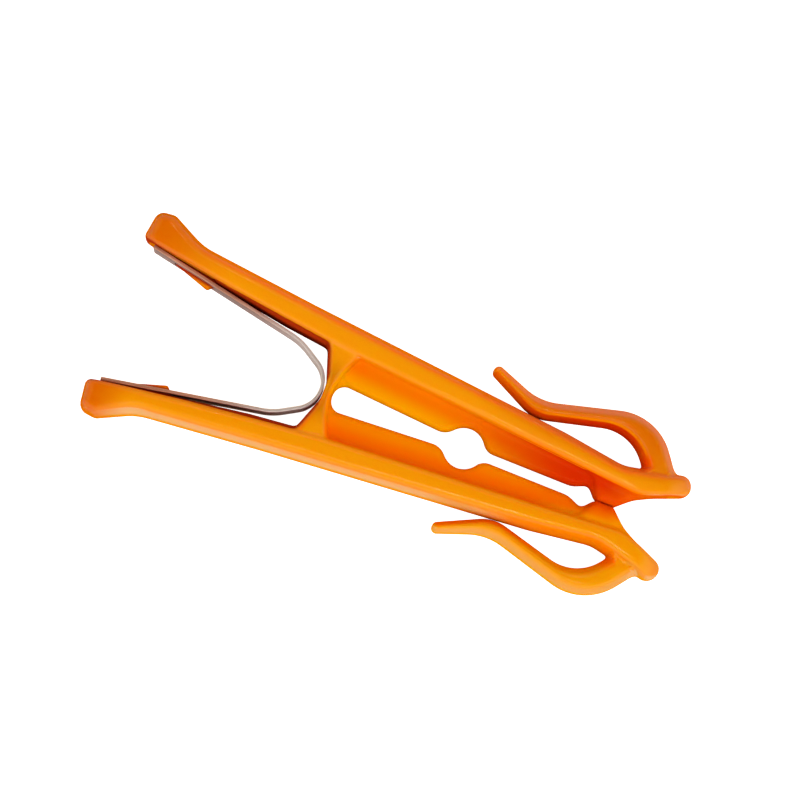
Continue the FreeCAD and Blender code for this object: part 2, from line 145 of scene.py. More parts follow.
def orange_plastic():
    """The moulding's plastic, with painted shade: redder where the attribute recess says that light
    comes in late.
    """
    orange, pale_orange = (0.87, 0.3, 0.0, 1), (0.9, 0.345, 0.001, 1)
    slope_shade_orange, shade_orange = (0.86, 0.26, 0.0, 1), (0.97, 0.2, 0.0, 1)
    lit_orange, neck_shade_orange = (0.83, 0.4, 0.13, 1), (0.6, 0.17, 0.0, 1)
    pad_shade_orange, upper_hook_shade = (0.75, 0.16, 0.0, 1), (0.72, 0.165, 0.0, 1)
    upper_hook_reflection, upper_hook_inner_lit = (0.82, 0.2, 0.05, 1), (1.0, 0.31, 0.0, 1)
    lower_hook_lit, lower_hook_reflection = (0.86, 0.33, 0.0, 1), (0.82, 0.34, 0.045, 1)
    hook_shadow_orange, root_orange = (0.97, 0.24, 0.0, 1), (1.0, 0.2, 0.0, 1)
    root_red, slot_orange = (0.97, 0.1, 0.0, 1), (0.92, 0.38, 0.0, 1)
    warm_red, deep_red = (0.88, 0.22, 0.0, 1), (0.7, 0.034, 0.0, 1)
    jaw_red, strip_shadow_red = (0.82, 0.12, 0.0, 1), (0.42, 0.03, 0.003, 1)
    low_red, low_slot = (0.97, 0.19, 0.0, 1), (0.97, 0.27, 0.0, 1)
    low_jaw, low_tip = (0.93, 0.22, 0.0, 1), (0.98, 0.48, 0.0, 1)
    low_rim, contact_red = (0.97, 0.33, 0.0, 1), (0.8, 0.08, 0.0, 1)
    material, tree, shader = new_material("orange_plastic")
    place = wire(tree, "ShaderNodeTexCoord").outputs["Object"]
    from_hinge = wire(
        tree, "ShaderNodeVectorMath", {0: place, 1: hinge_centre}, operation="SUBTRACT"
    ).outputs[0]
    along, up, over = wire(tree, "ShaderNodeSeparateXYZ", {0: from_hinge}).outputs
    sunk = maths(tree, "SUBTRACT", HALF_DEPTH * MM, maths(tree, "ABSOLUTE", over))
    normal = wire(tree, "ShaderNodeNewGeometry").outputs["True Normal"]
    facing = wire(tree, "ShaderNodeSeparateXYZ", {0: normal}).outputs
    away = wire(
        tree, "ShaderNodeVectorMath", {0: normal, 1: DARK_SIDE}, operation="DOT_PRODUCT"
    ).outputs["Value"]
    grain = wire(tree, "ShaderNodeGroup", node_tree=surface_grain)
    grain.inputs["Stretch"].default_value = (1, 1, 1)
    grain.inputs["Size"].default_value = 0.2 * MM
    grain.inputs["Contrast"].default_value = 1.8
    speck = grain.outputs["Height"]
    skin = blended_colour(tree, speck, orange, pale_orange)
    tilt = maths(tree, "ABSOLUTE", facing["Z"])
    # Painted shade: faces that slope away from flat are a deeper orange.
    skin = blended_colour(tree, ramp(tree, tilt, 0.97, 0.6), skin, slope_shade_orange)
    upper = ramp(tree, up, -1 * MM, 1 * MM)
    side = maths(tree, "MULTIPLY_ADD", upper, 2.0, -1.0)
    outward = maths(tree, "MULTIPLY", facing["Y"], side)
    leaning = ramp(tree, tilt, 0.05, 0.24)
    shaded = times(tree, leaning, ramp(tree, away, 0.02, 0.5), ramp(tree, outward, -0.5, -0.1))
    skin = blended_colour(tree, shaded, skin, shade_orange)
    lit = times(tree, leaning, ramp(tree, away, -0.72, -0.83))
    skin = blended_colour(tree, lit, skin, lit_orange)
    # Painted shadow of the hook on the flange faces beside it.
    past_start, before_end = ramp(tree, along, 25 * MM, 31 * MM), ramp(tree, along, 48 * MM, 45 * MM)
    hook_shadow = times(tree, past_start, before_end, ramp(tree, away, -0.25, -0.5))
    skin = blended_colour(tree, hook_shadow, skin, hook_shadow_orange)
    # Painted shade: the finger pads turn darker and redder towards their ends, which face away from the
    # light.
    pad_start = ramp(tree, up, -1 * MM, 1 * MM, -24 * MM, -16 * MM)
    pad_shading = ramp(tree, along, pad_start, -30 * MM)
    to_tip = times(tree, ramp(tree, along, 18 * MM, 32 * MM), ramp(tree, up, 2 * MM, 11 * MM))
    skin = blended_colour(tree, pad_shading, skin, pad_shade_orange)
    # Painted light and shade on the hooks: the upper one darker and redder with a lighter red-orange on
    # its inner slope, the lower one lighter, and each with a pale painted reflection on its outer slope.
    steep = ramp(tree, tilt, 0.78, 0.52)
    slope_reflection_share = times(tree, steep, leaning, ramp(tree, outward, 0.0, 0.2))
    inside = times(tree, steep, leaning, ramp(tree, outward, 0.0, -0.2))
    upper_hook_lighting = blended_colour(tree, slope_reflection_share, upper_hook_shade, upper_hook_reflection)
    upper_hook_lighting = blended_colour(tree, inside, upper_hook_lighting, upper_hook_inner_lit)
    skin = blended_colour(tree, to_tip, skin, upper_hook_lighting)
    to_low = times(tree, ramp(tree, along, 16 * MM, 22 * MM), ramp(tree, up, -6 * MM, -10 * MM))
    lower_hook_lighting = blended_colour(tree, slope_reflection_share, lower_hook_lit, lower_hook_reflection)
    skin = blended_colour(tree, to_low, skin, lower_hook_lighting)
    # Painted shade: the thin middle of the hinge is a darker orange.
    level = wire(
        tree, "ShaderNodeVectorMath", {0: from_hinge, 1: (1, 1, 0)}, operation="MULTIPLY"
    ).outputs[0]
    off_hinge = wire(tree, "ShaderNodeVectorMath", {0: level}, operation="LENGTH").outputs["Value"]
    skin = blended_colour(tree, ramp(tree, off_hinge, 6 * MM, 0.5 * MM), skin, neck_shade_orange)
    # Painted shade in the recesses: a red that deepens from the hinge towards the jaws and is deeper on
    # the upper arm, lighter near the slot and by the lower arm's rim at the jaws, and red where the jaws
    # meet.
    recess = wire(tree, "ShaderNodeAttribute", attribute_name="recess").outputs["Fac"]
    reach = wire(tree, "ShaderNodeAttribute", attribute_name="reach").outputs["Fac"]
    upper_red = blended_colour(tree, ramp(tree, reach, 1.2 * MM, 3.4 * MM), warm_red, slot_orange)
    upper_red = blended_colour(tree, ramp(tree, along, 14 * MM, 37 * MM), upper_red, deep_red)
    upper_red = blended_colour(tree, ramp(tree, along, 40 * MM, 46 * MM), upper_red, jaw_red)
    by_slot = times(tree, ramp(tree, reach, 1.2 * MM, 3 * MM), ramp(tree, along, 36 * MM, 28 * MM))
    lower_red = blended_colour(tree, by_slot, low_red, low_slot)
    lower_red = blended_colour(tree, ramp(tree, along, 36 * MM, 39 * MM), lower_red, low_jaw)
    lower_red = blended_colour(tree, ramp(tree, along, 41.5 * MM, 45.5 * MM), lower_red, low_tip)
    by_rim = times(tree, ramp(tree, reach, 1.4 * MM, 0.4 * MM), ramp(tree, along, 31 * MM, 38 * MM))
    lower_red = blended_colour(tree, by_rim, lower_red, low_rim)
    red = blended_colour(tree, upper, lower_red, upper_red)
    off_middle = maths(tree, "ABSOLUTE", up)
    by_middle, by_jaws = ramp(tree, off_middle, 2.4 * MM, 0.3 * MM), ramp(tree, along, 36 * MM, 40 * MM)
    red = blended_colour(tree, times(tree, by_middle, by_jaws), red, contact_red)
    # Painted shadow of the steel strip: dark red on the inner walls of the handles and on the back of
    # the neck behind its bow.
    by_handle, low_wall = ramp(tree, along, -1.5 * MM, -2.4 * MM), ramp(tree, reach, 1.4 * MM, 0.9 * MM)
    along_wall = times(tree, by_handle, low_wall)
    past_neck, facing_bow = ramp(tree, along, -0.3 * MM, -0.7 * MM), ramp(tree, facing["X"], -0.3, -0.7)
    neck_wall = times(tree, past_neck, facing_bow)
    red = blended_colour(tree, maths(tree, "MAXIMUM", along_wall, neck_wall), red, strip_shadow_red)
    colour = blended_colour(tree, recess, skin, red)
    # Painted shade in the crease where each hook grows out of its arm.
    root = wire(tree, "ShaderNodeCombineXYZ", {0: along, 1: off_middle}).outputs[0]
    from_root = wire(
        tree, "ShaderNodeVectorMath", {0: root, 1: ROOT_CORNER * MM}, operation="DISTANCE"
    ).outputs["Value"]
    by_root, below_face = ramp(tree, from_root, 1.9 * MM, 0.3 * MM), ramp(tree, sunk, 0.3 * MM, 1.4 * MM)
    crease_shade = times(tree, by_root, below_face)
    colour = blended_colour(tree, crease_shade, colour, blended_colour(tree, upper, root_orange, root_red))
    bump = wire(
        tree, "ShaderNodeBump", {"Height": speck, "Strength": 0.8, "Distance": 0.01 * MM}
    ).outputs["Normal"]
    roughness = maths(tree, "MULTIPLY_ADD", speck, 0.1, 0.12)
    turned_away = wire(tree, "ShaderNodeLayerWeight", {"Blend": 0.5}).outputs["Facing"]
    face_on = ramp(tree, turned_away, 0.3, 0.72, 0.4, 0.0)
    sheen = times(tree, face_on, ramp(tree, recess, 0.0, 1.0, 1.0, 0.1))
    tree.links.new(colour, shader.inputs["Base Color"])
    tree.links.new(bump, shader.inputs["Normal"])
    tree.links.new(roughness, shader.inputs["Roughness"])
    tree.links.new(sheen, shader.inputs["Specular IOR Level"])
    shader.inputs["Specular Tint"].default_value = (1.0, 0.85, 0.5, 1)
    shader.inputs["Subsurface Weight"].default_value = 0.45
    shader.inputs["Subsurface Radius"].default_value = (1.0, 0.25, 0.05)
    shader.inputs["Subsurface Scale"].default_value = 1.2 * MM
    return material


plastic = orange_plastic()


# Arms. Two mirrored levers. Each is a deep flange that runs from the finger pad to the tip,
# with a thin rib and a wider jaw block along its inside, and a barbed boss near the pad that
# holds the steel strip. All edges are moulded round, and the outer ones are the roundest.


def outline(name, corners, closed=True):
    """Straight runs through corners in mm from the hinge, each corner (x, y, radius)."""
    curve = bpy.data.curves.new(name, "CURVE")
    curve.dimensions = "3D"
    spline = curve.splines.new("POLY")
    spline.points.add(len(corners) - 1)
    for point, (x, y, radius) in zip(spline.points, corners):
        point.co = (x * MM, y * MM, 0, 1)
        point.radius = radius * MM
    spline.use_cyclic_u = closed
    made = bpy.data.objects.new(name, curve)
    bpy.context.scene.collection.objects.link(made)
    return made


def rounded_curve(tree, source):
    """The outline of the object in a socket, with an arc of each corner's own radius."""
    curve = wire(tree, "GeometryNodeObjectInfo", {"Object": source}).outputs["Geometry"]
    radius = wire(tree, "GeometryNodeInputRadius").outputs[0]
    inputs = {"Curve": curve, "Count": 24, "Radius": radius}
    return wire(tree, "GeometryNodeFilletCurve", inputs, mode="POLY").outputs[0]


CROWN_MIDDLE, CROWN_LOW, CROWN_HIGH = 2.0, 8.0, 26.0
CROWN_LEAST, CROWN_WIDTH = 0.35, 2.1
SLOPE_SOFT = 1.1


def plate_group():
    """How far a place is from a plate with round rims, sloping sides and a crowned face."""
    group = bpy.data.node_groups.new("plate_distance", "GeometryNodeTree")
    for name, kind in (
        ("Outline", "Object"),
        ("Place", "Vector"),
        ("Half Depth", "Float"),
        ("Rim", "Float"),
        ("Outer Slope", "Float"),
        ("Inner Slope", "Float"),
        ("Slope Depth", "Float"),
        ("Crown", "Float"),
    ):
        group.interface.new_socket(name, in_out="INPUT", socket_type=f"NodeSocket{kind}")
    for name in ("Distance", "Facing"):
        group.interface.new_socket(name, in_out="OUTPUT", socket_type="NodeSocketFloat")
    given = wire(group, "NodeGroupInput").outputs
    shape = wire(
        group,
        "GeometryNodeFillCurve",
        {"Curve": rounded_curve(group, given["Outline"])},
        mode="NGONS",
    ).outputs[0]
    flat = wire(
        group, "ShaderNodeVectorMath", {0: given["Place"], 1: (1, 1, 0)}, operation="MULTIPLY"
    ).outputs[0]
    inputs = {"Geometry": shape, "Sample Position": flat}
    edge = wire(group, "GeometryNodeProximity", inputs, target_element="EDGES").outputs
    above = wire(group, "ShaderNodeVectorMath", {0: flat, 1: (0, 0, 0.1)}).outputs[0]
    inputs = {"Target Geometry": shape, "Source Position": above, "Ray Length": 1.0}
    inside = wire(group, "GeometryNodeRaycast", inputs).outputs["Is Hit"]
    sign = maths(group, "MULTIPLY_ADD", inside, -2.0, 1.0)
    across = maths(group, "MULTIPLY", edge["Distance"], sign)
    outward = wire(
        group, "ShaderNodeVectorMath", {0: flat, 1: edge["Position"]}, operation="SUBTRACT"
    ).outputs[0]
    outward_y = wire(group, "ShaderNodeSeparateXYZ", {0: outward}).outputs["Y"]
    facing = maths(
        group,
        "DIVIDE",
        maths(group, "MULTIPLY", outward_y, sign),
        maths(group, "MAXIMUM", edge["Distance"], 1e-7),
    )
    where = wire(group, "ShaderNodeSeparateXYZ", {0: given["Place"]}).outputs
    from_middle = maths(group, "ABSOLUTE", maths(group, "SUBTRACT", where["X"], CROWN_MIDDLE * MM))
    to_ends = (CROWN_LOW * MM, CROWN_HIGH * MM, CROWN_LEAST, 1.0)
    crown = maths(group, "MULTIPLY", ramp(group, from_middle, *to_ends), given["Crown"])
    edge_share = maths(group, "MULTIPLY_ADD", across, 1 / (CROWN_WIDTH * MM), 1.0)
    edge_share = maths(group, "MINIMUM", maths(group, "MAXIMUM", edge_share, 0.0), 1.0)
    drop = maths(group, "MULTIPLY", maths(group, "POWER", edge_share, 2.0), crown)
    over = maths(group, "SUBTRACT", maths(group, "ABSOLUTE", where["Z"]), given["Half Depth"])
    over = maths(group, "ADD", over, drop)
    rim = given["Rim"]
    past_side, past_face = maths(group, "ADD", across, rim), maths(group, "ADD", over, rim)
    within = maths(group, "MINIMUM", maths(group, "MAXIMUM", past_side, past_face), 0.0)
    corner = wire(
        group,
        "ShaderNodeCombineXYZ",
        {0: maths(group, "MAXIMUM", past_side, 0.0), 1: maths(group, "MAXIMUM", past_face, 0.0)},
    ).outputs[0]
    beyond = wire(group, "ShaderNodeVectorMath", {0: corner}, operation="LENGTH").outputs["Value"]
    block = maths(group, "SUBTRACT", maths(group, "ADD", within, beyond), rim)
    width = ramp(group, facing, -0.6, 0.6, given["Inner Slope"], given["Outer Slope"])
    depth = given["Slope Depth"]
    run = wire(group, "ShaderNodeCombineXYZ", {0: width, 1: depth}).outputs[0]
    length = wire(group, "ShaderNodeVectorMath", {0: run}, operation="LENGTH").outputs["Value"]
    rise = maths(group, "MULTIPLY", maths(group, "ADD", over, depth), width)
    slope = maths(group, "DIVIDE", maths(group, "MULTIPLY_ADD", across, depth, rise), length)
    aside = ramp(group, width, 0.0, SLOPE_SOFT * MM, SLOPE_SOFT * MM, 0.0)
    slope = maths(group, "SUBTRACT", slope, aside)
    distance = maths(group, "SMOOTH_MAX", block, slope, SLOPE_SOFT * MM)
    wire(group, "NodeGroupOutput", {"Distance": distance, "Facing": facing})
    return group


plate_distance = plate_group()


PLATE_SIZES = (
    "Half Depth", "Rim", "Outer Slope", "Inner Slope", "Slope Depth", "Crown", "Fillet"
)


def moulding_tree(name, plates, face_limits=(), edge_limits=(), seats=(), walls=()):
    """A tree that skins plates melted into one another, held within limits seen from two sides.

    A seat is a piece that this one grows out of, and walls are the ones that shade it.
    """
    tree = bpy.data.node_groups.new(name, "GeometryNodeTree")
    tree.interface.new_socket("Geometry", in_out="OUTPUT", socket_type="NodeSocketGeometry")
    sizes = [("Hinge", "Vector"), ("Side", "Float"), ("Low", "Vector"), ("High", "Vector")]
    sizes += [("Voxel", "Float"), ("Recess Start", "Float"), ("Recess End", "Float")]
    sizes += [("Seat Start", "Float"), ("Seat Reach", "Float"), ("Material", "Material")]
    for plate in (*plates, *face_limits, *edge_limits, *seats, *walls):
        sizes.append((f"{plate} Outline", "Object"))
        sizes += [(f"{plate} {size}", "Float") for size in PLATE_SIZES]
    for size, kind in sizes:
        tree.interface.new_socket(size, in_out="INPUT", socket_type=f"NodeSocket{kind}")
    given = wire(tree, "NodeGroupInput").outputs
    mirror = wire(tree, "ShaderNodeCombineXYZ", {0: 1.0, 1: given["Side"], 2: 1.0}).outputs[0]
    position = wire(tree, "GeometryNodeInputPosition").outputs[0]
    from_hinge = wire(
        tree, "ShaderNodeVectorMath", {0: position, 1: given["Hinge"]}, operation="SUBTRACT"
    ).outputs[0]
    place = wire(
        tree, "ShaderNodeVectorMath", {0: from_hinge, 1: mirror}, operation="MULTIPLY"
    ).outputs[0]
    axes = wire(tree, "ShaderNodeSeparateXYZ", {0: place}).outputs
    edge_on = wire(
        tree, "ShaderNodeCombineXYZ", {0: axes["X"], 1: axes["Z"], 2: axes["Y"]}
    ).outputs[0]

    def plate_at(plate, seen_from):
        """The distance from a plate whose outline is drawn as seen from one side."""
        made = wire(tree, "GeometryNodeGroup", node_tree=plate_distance)
        tree.links.new(seen_from, made.inputs["Place"])
        for size in ("Outline", *PLATE_SIZES[:-1]):
            tree.links.new(given[f"{plate} {size}"], made.inputs[size])
        return made.outputs

    shading = next(iter(walls or plates))
    wall = plate_at(shading, place)
    joined = plate_at(next(iter(plates)), place)["Distance"]
    for plate in list(plates)[1:]:
        distance = plate_at(plate, place)["Distance"]
        joined = maths(tree, "SMOOTH_MIN", joined, distance, given[f"{plate} Fillet"])
    for plate in face_limits:
        distance = plate_at(plate, place)["Distance"]
        joined = maths(tree, "SMOOTH_MAX", joined, distance, given[f"{plate} Fillet"])
    for plate in seats:
        near = maths(tree, "SUBTRACT", joined, given["Seat Reach"])
        start = given["Seat Start"]
        end = maths(tree, "SUBTRACT", start, 2 * MM)
        apart = ramp(tree, axes["X"], start, end, 0.03 * MM, 3 * MM)
        sunk = maths(tree, "ADD", plate_at(plate, place)["Distance"], apart)
        joined = maths(tree, "SMOOTH_MIN", joined, sunk, given[f"{plate} Fillet"])
        joined = maths(tree, "MAXIMUM", joined, near)
    for plate in edge_limits:
        distance = plate_at(plate, edge_on)["Distance"]
        joined = maths(tree, "SMOOTH_MAX", joined, distance, given[f"{plate} Fillet"])
    cells = wire(
        tree, "ShaderNodeVectorMath", {0: given["High"], 1: given["Low"]}, operation="SUBTRACT"
    ).outputs[0]
    counts = wire(tree, "ShaderNodeSeparateXYZ", {0: cells}).outputs
    cube = wire(
        tree,
        "GeometryNodeVolumeCube",
        {
            "Density": maths(tree, "DIVIDE", maths(tree, "MULTIPLY", joined, -1.0), given["Voxel"]),
            "Background": -1.0,
            "Min": given["Low"],
            "Max": given["High"],
        },
    )
    for axis in "XYZ":
        steps = maths(tree, "DIVIDE", counts[axis], given["Voxel"])
        tree.links.new(maths(tree, "ADD", steps, 1.0), cube.inputs[f"Resolution {axis}"])
    skin = wire(tree, "GeometryNodeVolumeToMesh", {"Volume": cube.outputs[0], "Threshold": 0.0})
    # The attributes recess and reach tell the material where it paints recess shade.
    height = maths(tree, "ABSOLUTE", axes["Z"])
    below = maths(tree, "SUBTRACT", given[f"{shading} Half Depth"], height)
    recess = maths(
        tree,
        "MULTIPLY",
        ramp(tree, below, given["Recess Start"], given["Recess End"]),
        ramp(tree, wall["Facing"], -0.3, -0.8),
    )
    recess = maths(tree, "MULTIPLY", recess, ramp(tree, wall["Distance"], -0.35 * MM, -0.1 * MM))
    marked = skin
    for mark, source in (("recess", recess), ("reach", wall["Distance"])):
        inputs = {"Geometry": marked.outputs[0], "Name": mark, "Value": source}
        marked = wire(tree, "GeometryNodeStoreNamedAttribute", inputs)
    smooth = wire(tree, "GeometryNodeSetShadeSmooth", {"Geometry": marked.outputs[0]})
    real = wire(tree, "GeometryNodeRealizeInstances", {"Geometry": smooth.outputs[0]})
    inputs = {"Geometry": real.outputs[0], "Material": given["Material"]}
    finished = wire(tree, "GeometryNodeSetMaterial", inputs)
    wire(tree, "NodeGroupOutput", {"Geometry": finished.outputs[0]})
    return tree


def grown(name, tree, sizes):
    """A plain mesh object made by a tree, from sizes given by the names of its inputs."""
    piece = bpy.data.objects.new(name, bpy.data.meshes.new(name))
    bpy.context.scene.collection.objects.link(piece)
    modifier = piece.modifiers.new("shape", "NODES")
    modifier.node_group = tree
    for item in tree.interface.items_tree:
        if item.in_out == "INPUT":
            modifier[item.identifier] = sizes[item.name]
    graph = bpy.context.evaluated_depsgraph_get()
    mesh = bpy.data.meshes.new_from_object(piece.evaluated_get(graph), depsgraph=graph)
    piece.modifiers.remove(modifier)
    piece.data = mesh
    mesh.name = name
    return piece


def moulded(name, tree, side, box, voxel, plates):
    """A moulded piece, from plates that each give their corners and then their PLATE_SIZES."""
    margin = Vector((2 * voxel, 2 * voxel, 2 * voxel)) * MM
    sizes = {
        "Hinge": hinge_centre,
        "Side": float(side),
        "Low": box[0] - margin,
        "High": box[1] + margin,
        "Voxel": voxel * MM,
        "Recess Start": 0.55 * MM,
        "Recess End": 1.1 * MM,
        "Seat Start": 43.6 * MM,
        "Seat Reach": 1.4 * MM,
        "Material": plastic,
    }
    outlines = []
    for plate, (corners, *plate_sizes) in plates.items():
        outlines.append(outline(f"{name}_{plate}", corners))
        sizes[f"{plate} Outline"] = outlines[-1]
        for size, given in zip(PLATE_SIZES, plate_sizes):
            sizes[f"{plate} {size}"] = given * MM
    piece = grown(name, tree, sizes)
    for helper in outlines:
        bpy.data.curves.remove(helper.data)
    return piece


FLANGE = [
    (-31.81, 10.5, 0.9),
    (-31.16, 14.9, 1.4),
    (-28.7, 15.2, 1.4),
    (-23.5, 12.62, 9.0),
    (-6.0, 10.78, 60.0),
    (33.0, 7.24, 40.0),
    (42.0, 6.0, 6.0),
    (51.45, 8.05, 1.6),
    (52.35, 5.25, 1.4),
    (45.3, 2.7, 5.0),
    (0.0, 6.25, 5.0),
    (-18.0, 8.42, 40.0),
]
BELLY = [
    (-2.3, 6.0, 0.1),
    (-9.0, 6.75, 8.0),
    (-20.0, 8.5, 0.1),
    (-20.0, 9.6, 0.1),
    (-2.3, 7.4, 0.1),
]
RIB = [
    (0.2, 1.94, 0.1),
    (2.65, 1.9, 3.0),
    (17.55, 0.92, 2.6),
    (20.97, 5.35, 2.9),
    (23.41, 0.7, 2.0),
    (36.4, 0.7, 3.4),
    (38.6, 1.65, 1.1),
    (39.9, 0.45, 0.2),
    (41.5, 1.2, 0.2),
    (41.5, 3.7, 0.1),
    (0.2, 7.0, 0.1),
]
JAW = [
    (40.3, 0.05, 0.1),
    (42.8, 0.05, 0.1),
    (45.4, 2.4, 3.0),
    (48.0, 4.35, 0.1),
    (38.5, 3.97, 0.1),
    (38.5, 3.17, 0.1),
]
BOSS = [
    (-26.2, 10.15, 0.05),
    (-26.2, 8.95, 0.1),
    (-20.9, 7.22, 0.35),
    (-20.0, 8.2, 0.4),
    (-20.0, 9.26, 0.05),
]
HALF_WEB = [
    (-2.8, 7.0, 0.1),
    (-2.05, 5.45, 1.0),
    (-0.81, 1.9, 0.1),
    (0.76, 1.9, 0.1),
    (1.2, 3.1, 3.0),
    (2.9, 7.0, 0.1),
]
ARM_PLATES = {
    "Flange": (FLANGE, 5.0, 0.8, 1.0, 0.0, 2.2, 0.3, 0.0),
    "Belly": (BELLY, 3.4, 1.0, 0.0, 0.0, 1.0, 0.0, 0.6),
    "Rib": (RIB, 1.6, 0.9, 0.0, 0.0, 1.0, 0.0, 1.2),
    "Jaw": (JAW, 3.2, 1.0, 0.0, 0.0, 1.0, 0.0, 1.6),
    "Boss": (BOSS, 1.4, 0.4, 0.0, 0.0, 1.0, 0.0, 0.3),
    "Web": (HALF_WEB, 4.48, 1.0, 0.0, 0.0, 1.0, 0.5, 0.7),
}
END_PLAN = [
    (-34.3, 0.05, 0.0),
    (-30.4, 4.7, 2.5),
    (-24.5, 5.8, 14.0),
    (43.5, 5.8, 12.0),
    (49.9, 4.75, 9.0),
    (53.9, 0.05, 0.0),
]
END_PLAN += [(x, -z, r) for x, z, r in reversed(END_PLAN)]
ARM_LIMITS = {"Ends": (END_PLAN, 30.0, 0.1, 0.0, 0.0, 1.0, 0.0, 1.6)}
arm_tree = moulding_tree("moulded_arm", ARM_PLATES, edge_limits=ARM_LIMITS)
arm_shapes = {**ARM_PLATES, **ARM_LIMITS}
for place, side in SIDES.items():
    arm = moulded(f"{place}_arm_shell", arm_tree, side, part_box(f"{place}_arm"), 0.18, arm_shapes)
    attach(arm, f"{place}_arm")
    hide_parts(f"{place}_arm")


# Hinge. A thin strip of the same plastic, which on the clamp bends when the handles are squeezed;
# here it is built once, in place, with a three-cornered web at each end that stands just below
# the faces of the arms.

HINGE = [
    (-2.8, 7.0, 0.1),
    (-2.05, 5.45, 1.0),
    (-0.56, 1.2, 3.0),
    (-0.56, -1.2, 3.0),
    (-2.05, -5.45, 1.0),
    (-2.8, -7.0, 0.1),
    (2.9, -7.0, 0.1),
    (1.2, -3.1, 3.0),
    (0.5, 0.0, 6.0),
    (1.2, 3.1, 3.0),
    (2.9, 7.0, 0.1),
]
SLOT_END = [
    (-0.2, 3.6, 0.1),
    (3.4, 3.6, 0.1),
    (3.4, 1.92, 0.1),
    (2.65, 1.94, 0.1),
    (0.7, 1.95, 1.94),
    (0.7, -1.95, 1.94),
    (2.65, -1.94, 0.1),
    (3.4, -1.92, 0.1),
    (3.4, -3.6, 0.1),
    (-0.2, -3.6, 0.1),
]
HINGE_PLATES = {
    "Web": (HINGE, 4.45, 1.0, 0.0, 0.0, 1.0, 0.5, 0.0),
    "Slot": (SLOT_END, 1.55, 0.85, 0.0, 0.0, 1.0, 0.0, 1.0),
}
HINGE_WALLS = {"Flange": ARM_PLATES["Flange"]}
web_tree = moulding_tree("moulded_web", HINGE_PLATES, walls=HINGE_WALLS)
hinge_shapes = {**HINGE_PLATES, **HINGE_WALLS}
web_reach = Vector((3.4, 7.2, 4.5)) * MM
web_box = (hinge_centre - web_reach, hinge_centre + web_reach)
web = moulded("hinge_web", web_tree, 1, web_box, 0.13, hinge_shapes)
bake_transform(web)
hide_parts("living_hinge")


# Hooks. A springy, wavy tongue on the outside of each arm, of the same shot of plastic. It
# grows out of the arm near the tip, and card or cloth is pushed under its raised end.

HOOK = [
    (20.5, 12.75, 0.85),
    (27.9, 9.98, 8.0),
    (44.0, 14.4, 8.0),
    (49.0, 7.68, 0.1),
    (48.6, 6.2, 0.1),
    (44.9, 5.3, 0.1),
    (44.75, 6.6, 0.5),
    (41.3, 10.87, 6.3),
    (27.9, 7.43, 5.6),
    (20.1, 11.2, 0.9),
]
HOOK_BACK = [
    (20.3, 12.97, 0.85),
    (27.9, 10.18, 8.0),
    (44.05, 14.62, 8.0),
    (49.25, 7.68, 0.1),
    (49.25, 0.0, 0.1),
    (19.8, 0.0, 0.1),
]
HOOK_PLATES = {"Tongue": (HOOK, 4.0, 0.6, 0.0, 1.05, 2.0, 0.0, 0.0)}
HOOK_LIMITS = {"Back": (HOOK_BACK, 4.05, 0.1, 1.4, 0.0, 2.1, 0.0, 0.4)}
HOOK_SEAT = {"Flange": (*ARM_PLATES["Flange"][:-1], 1.2)}
TONGUE_PLAN = [
    (19.85, 2.7, 1.5),
    (21.5, 3.3, 3.0),
    (36.0, 4.7, 10.0),
    (42.0, 7.0, 3.0),
    (60.0, 7.0, 0.1),
]
TONGUE_PLAN += [(x, -z, r) for x, z, r in reversed(TONGUE_PLAN)]
TONGUE_LIMITS = {"Tongue Plan": (TONGUE_PLAN, 30.0, 0.1, 0.0, 0.0, 1.0, 0.0, 0.6)}
HOOK_ENDS = {**ARM_LIMITS, **TONGUE_LIMITS}
hook_tree = moulding_tree("moulded_hook", HOOK_PLATES, HOOK_LIMITS, HOOK_ENDS, HOOK_SEAT)
hook_shapes = {**HOOK_PLATES, **HOOK_LIMITS, **HOOK_ENDS, **HOOK_SEAT}
for place, side in SIDES.items():
    low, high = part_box(f"{place}_hook")
    inwards, deeper = Vector((0, -1.6 * MM * side, 0)), Vector((0, 0, 0.6 * MM))
    box = (low + inwards, high) if side > 0 else (low, high + inwards)
    box = (box[0] - deeper, box[1] + deeper + Vector((1.6 * MM, 0, 0)))
    hook = moulded(f"{place}_hook_tongue", hook_tree, side, box, 0.13, hook_shapes)
    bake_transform(hook)
    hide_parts(f"{place}_hook")


# Strip spring. One strip of spring steel, with a painted bright reflection at its bow and
# painted shade and orange reflection along its legs, blanked with a window near each end,
# bent to a U and snapped over the bosses of the two arms.


